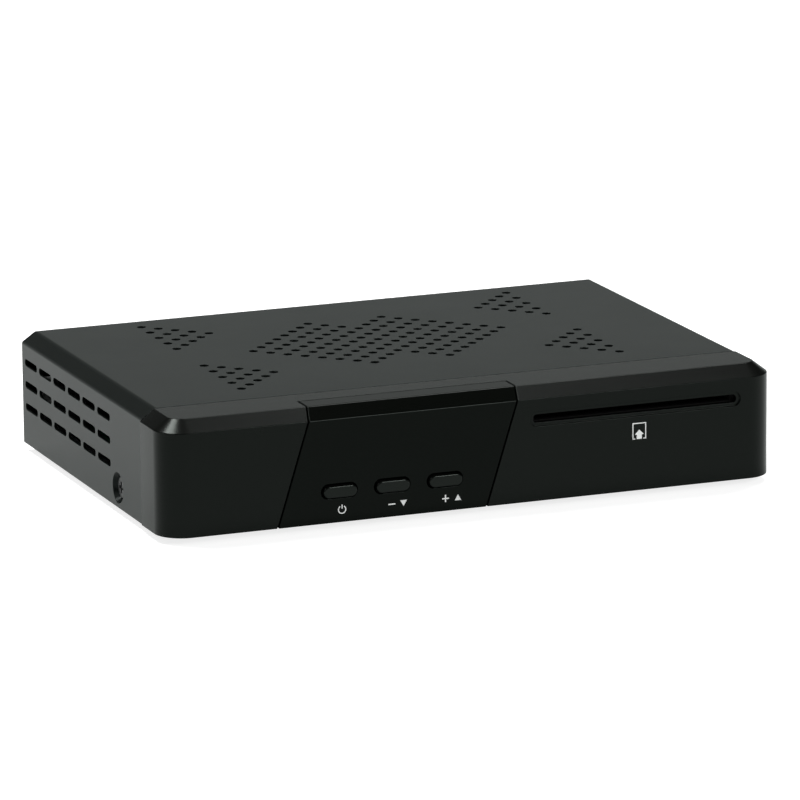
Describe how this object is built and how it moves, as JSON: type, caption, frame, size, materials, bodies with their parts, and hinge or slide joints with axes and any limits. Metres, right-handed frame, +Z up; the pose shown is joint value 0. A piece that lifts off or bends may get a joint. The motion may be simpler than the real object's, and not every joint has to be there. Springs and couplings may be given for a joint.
{
  "type": "satellite tv receiver",
  "caption": "Low black set-top satellite receiver: plastic front with a smart card slot and push buttons, gloss centre panel, vented steel cover and rear sockets.",
  "frame": {"origin": "on the surface under the feet, half way across the case and half way from the button faces to the ends of the aerial sockets", "axes": "+X to the right seen from the front, +Y to the back, +Z up"},
  "size_m": [0.17, 0.126, 0.0322],
  "materials": {
    "cover_paint": "satin powder-coated black steel",
    "bezel_plastic": "satin black moulded plastic",
    "panel_gloss": "polished smoked black plastic",
    "button_plastic": "polished black plastic",
    "plunger_plastic": "black moulded plastic",
    "board_laminate": "green lacquered glass laminate",
    "black_plastic": "black moulded plastic",
    "white_plastic": "natural white moulded plastic",
    "chip_epoxy": "black moulded epoxy",
    "heatsink_aluminium": "extruded aluminium",
    "socket_nickel": "nickel plating",
    "tinplate": "bright tinplate",
    "contact_gold": "gold-flashed contacts",
    "screw_steel": "black zinc-plated steel",
    "bright_screw_steel": "zinc-plated steel",
    "foot_rubber": "soft black rubber",
    "capacitor_sleeve": "dark printed sleeve over an aluminium can",
    "cable_film": "white flat flexible cable",
    "sensor_resin": "dark infrared resin",
    "lamp_resin": "red diffused resin",
    "display_plastic": "dark display face"
  },
  "bodies": {
    "case": {"analogue_video_contacts": "contact_gold", "analogue_video_socket": "black_plastic", "base_tray": "cover_paint", "bezel_screws": "bright_screw_steel", "board_standoffs": "bright_screw_steel", "card_reader_base": "black_plastic", "card_reader_board": "board_laminate", "card_reader_contacts": "contact_gold", "card_reader_cover": "black_plastic", "card_reader_header": "black_plastic", "card_reader_posts": "bright_screw_steel", "card_reader_screws": "bright_screw_steel", "centre_panel": "panel_gloss", "channel_display": "display_plastic", "channel_down_switch": "black_plastic", "channel_up_switch": "black_plastic", "clock_crystal": "tinplate", "cover_screws": "screw_steel", "data_socket": "tinplate", "data_tongue": "white_plastic", "digital_audio_barrel": "socket_nickel", "digital_audio_socket": "black_plastic", "digital_video_socket": "tinplate", "digital_video_tongue": "black_plastic", "flash_chip": "chip_epoxy", "front_bezel": "bezel_plastic", "front_board": "board_laminate", "front_board_cable": "cable_film", "front_board_header": "white_plastic", "front_board_screws": "bright_screw_steel", "infrared_extension_jack": "black_plastic", "infrared_receiver": "sensor_resin", "main_board": "board_laminate", "main_board_header": "white_plastic", "main_board_screws": "bright_screw_steel", "main_processor": "chip_epoxy", "memory_chips": "chip_epoxy", "power_inductors": "chip_epoxy", "power_inlet": "black_plastic", "power_inlet_pin": "socket_nickel", "power_switch": "black_plastic", "processor_heatsink": "heatsink_aluminium", "rubber_feet": "foot_rubber", "satellite_in_socket": "socket_nickel", "satellite_out_socket": "socket_nickel", "satellite_socket_insulators": "white_plastic", "smoothing_capacitors": "capacitor_sleeve", "standby_lamp": "lamp_resin", "top_cover": "cover_paint", "tuner_board": "board_laminate", "tuner_can": "tinplate", "tuner_lid": "tinplate"},
    "power_key": {"power_button": "button_plastic", "power_switch_plunger": "plunger_plastic"},
    "channel_down_key": {"channel_down_button": "button_plastic", "channel_down_switch_plunger": "plunger_plastic"},
    "channel_up_key": {"channel_up_button": "button_plastic", "channel_up_switch_plunger": "plunger_plastic"}
  },
  "joints": [
    {"name": "power_press", "type": "slide", "parent": "case", "child": "power_key", "axis": [0, 1, 0], "range_m": [0, 0.00035], "stiffness_N_per_m": 4500},
    {"name": "channel_down_press", "type": "slide", "parent": "case", "child": "channel_down_key", "axis": [0, 1, 0], "range_m": [0, 0.00035], "stiffness_N_per_m": 4500},
    {"name": "channel_up_press", "type": "slide", "parent": "case", "child": "channel_up_key", "axis": [0, 1, 0], "range_m": [0, 0.00035], "stiffness_N_per_m": 4500}
  ]
}
